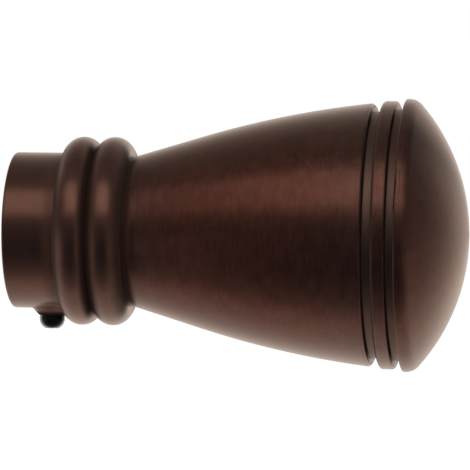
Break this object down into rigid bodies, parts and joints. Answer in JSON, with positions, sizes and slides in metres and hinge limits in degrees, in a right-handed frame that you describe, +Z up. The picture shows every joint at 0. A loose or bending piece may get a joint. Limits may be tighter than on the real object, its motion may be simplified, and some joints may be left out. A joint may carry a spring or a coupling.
{
  "type": "curtain pole finial",
  "caption": "Turned trumpet-shaped finial with a domed end, ring grooves and bead mouldings, and a collar socket that a set screw clamps on the end of a curtain pole.",
  "frame": {"origin": "centre of the socket's floor, where the end of the pole seats", "axes": "+X along the pole's axis from the socket to the domed end, +Z up, with the set screw below the collar along Z"},
  "size_m": [0.0863, 0.0512, 0.0514],
  "materials": {
    "bronze_finish": "satin dark bronze, finely brushed round the pole's axis",
    "black_steel": "smooth glossy black oxide"
  },
  "bodies": {
    "finial": {"finial_body": "bronze_finish"},
    "screw": {"set_screw": "black_steel"}
  },
  "joints": [
    {"name": "set_screw_travel", "type": "slide", "parent": "finial", "child": "screw", "axis": [0, 0, 1], "range_m": [-0.0015, 0.0007]}
  ]
}
